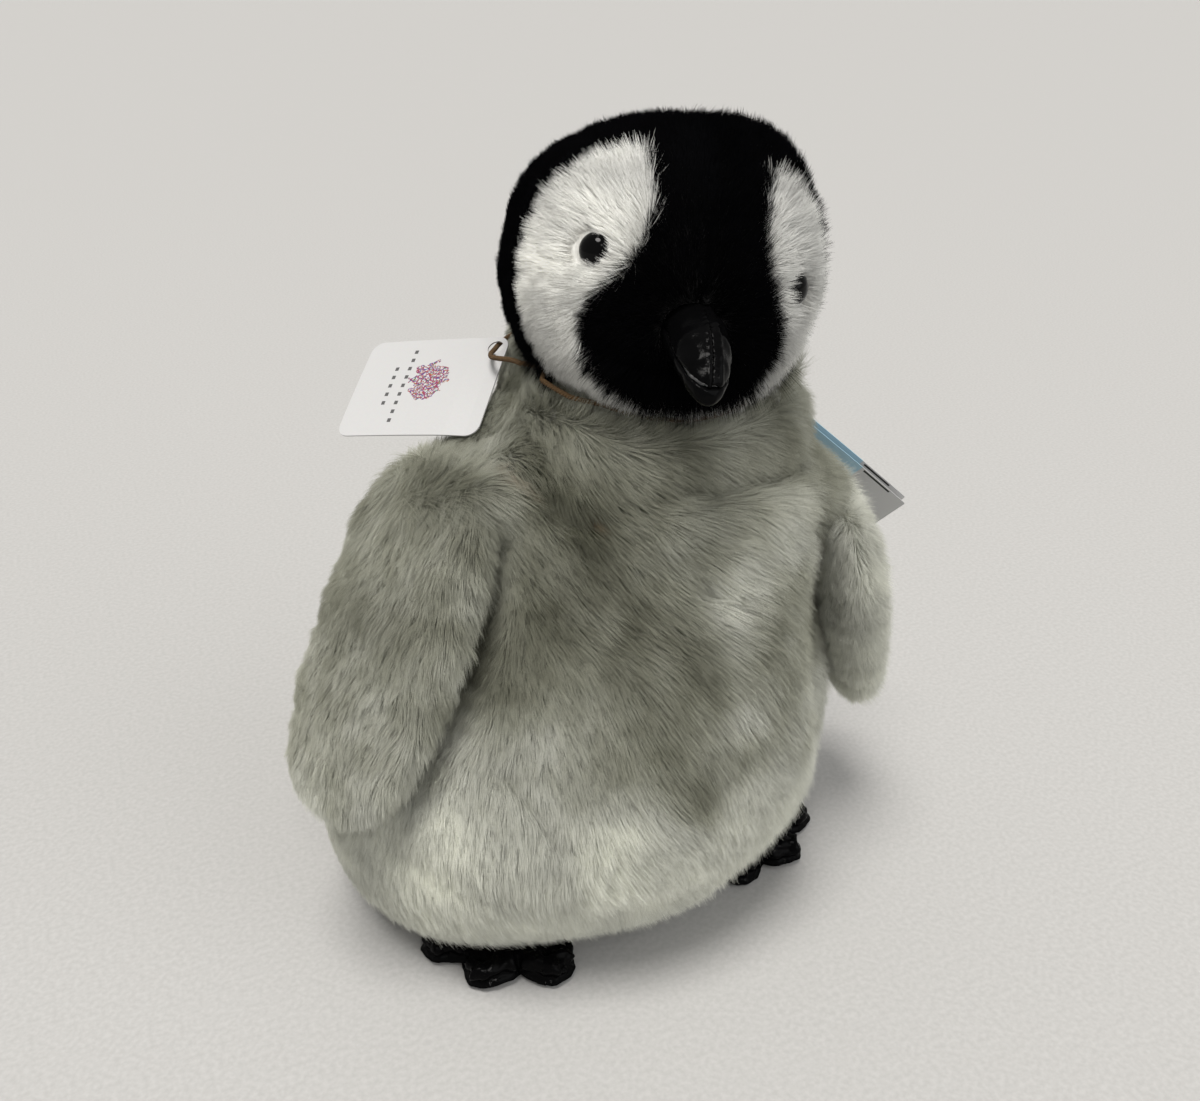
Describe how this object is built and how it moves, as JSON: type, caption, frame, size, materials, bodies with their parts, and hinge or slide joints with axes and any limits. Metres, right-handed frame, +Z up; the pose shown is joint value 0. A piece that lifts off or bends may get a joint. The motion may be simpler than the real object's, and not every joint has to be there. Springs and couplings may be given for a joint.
{
  "type": "plush penguin chick",
  "caption": "Sitting plush penguin chick with fur panels over fibre filling, a turning head, hanging flippers, leather-look beak and webbed feet, and paper tags.",
  "frame": {"origin": "on the surface it stands on, under the body, in the flat base panel", "axes": "+Z up, -Y the way the bird looks, +X to the bird's own left"},
  "size_m": [0.2554, 0.1754, 0.2924],
  "materials": {
    "grey_fur": "deep plush pile",
    "black_fur": "short plush pile",
    "white_fur": "plush pile",
    "leather_look": "semi-gloss grained sheet",
    "fibre": "loose white fibre",
    "calico": "plain woven cotton",
    "pellets": "small translucent beads",
    "eye": "high gloss",
    "washer": "moulded",
    "cord": "twisted cord",
    "card": "smooth printed card",
    "nylon": "clear thread"
  },
  "bodies": {
    "body": {"body_front_panel": "grey_fur", "body_back_right_panel": "grey_fur", "body_back_left_panel": "grey_fur", "body_base_panel": "grey_fur", "body_stuffing": "fibre", "pellet_bag": "calico", "pellet_fill": "pellets", "neck_cord": "cord", "info_card_fastener": "nylon"},
    "neck": {"neck_stuffing": "fibre"},
    "head": {"cheek_right_panel": "white_fur", "cheek_left_panel": "white_fur", "hood_right_panel": "black_fur", "hood_left_panel": "black_fur", "head_stuffing": "fibre", "eye_right": "eye", "eye_left": "eye", "eye_right_washer": "washer", "eye_left_washer": "washer", "beak_upper_right": "leather_look", "beak_upper_left": "leather_look", "beak_lower": "leather_look", "beak_stuffing": "fibre"},
    "flipper_right": {"flipper_right_outer_panel": "grey_fur", "flipper_right_inner_panel": "grey_fur", "flipper_right_padding": "fibre"},
    "foot_right": {"foot_right_upper": "leather_look", "foot_right_sole": "leather_look", "foot_right_padding": "fibre"},
    "flipper_left": {"flipper_left_outer_panel": "grey_fur", "flipper_left_inner_panel": "grey_fur", "flipper_left_padding": "fibre"},
    "foot_left": {"foot_left_upper": "leather_look", "foot_left_sole": "leather_look", "foot_left_padding": "fibre"},
    "hang_tag": {"hang_tag": "card"},
    "info_card": {"info_card": "card"}
  },
  "joints": [
    {"name": "head_turn", "type": "hinge", "parent": "body", "child": "neck", "pos_m": [0.0115, -0.0185, 0.245], "axis": [0, 0, 1], "range_deg": [-25, 25], "stiffness_Nm_per_rad": 0.3},
    {"name": "head_nod", "type": "hinge", "parent": "neck", "child": "head", "pos_m": [0.0115, -0.0185, 0.245], "axis": [0.9454, -0.2357, -0.2249], "range_deg": [-15, 12], "stiffness_Nm_per_rad": 0.5},
    {"name": "flipper_right_raise", "type": "hinge", "parent": "body", "child": "flipper_right", "pos_m": [-0.0595, -0.015, 0.191], "axis": [-0.4238, 0.9001, 0.1009], "range_deg": [0, 60], "stiffness_Nm_per_rad": 0.05},
    {"name": "flipper_left_raise", "type": "hinge", "parent": "body", "child": "flipper_left", "pos_m": [0.076, -0.036, 0.162], "axis": [-0.1518, -0.926, -0.3456], "range_deg": [0, 60], "stiffness_Nm_per_rad": 0.05},
    {"name": "foot_right_flex", "type": "hinge", "parent": "body", "child": "foot_right", "pos_m": [-0.054, -0.031, 0.0045], "axis": [-0.766, 0.6428, 0], "range_deg": [-25, 12], "stiffness_Nm_per_rad": 0.05},
    {"name": "foot_left_flex", "type": "hinge", "parent": "body", "child": "foot_left", "pos_m": [0.058, -0.019, 0.0045], "axis": [-0.8829, -0.4695, 0], "range_deg": [-25, 12], "stiffness_Nm_per_rad": 0.05},
    {"name": "hang_tag_swing", "type": "hinge", "parent": "body", "child": "hang_tag", "pos_m": [-0.032, 0.013, 0.2175], "axis": [0.5865, 0.8099, 0], "range_deg": [0, 50], "stiffness_Nm_per_rad": 0.002},
    {"name": "info_card_swing", "type": "hinge", "parent": "body", "child": "info_card", "pos_m": [0.101, 0.021, 0.1628], "axis": [0.5897, 0.7811, 0.2051], "range_deg": [-20, 30], "stiffness_Nm_per_rad": 0.002}
  ]
}
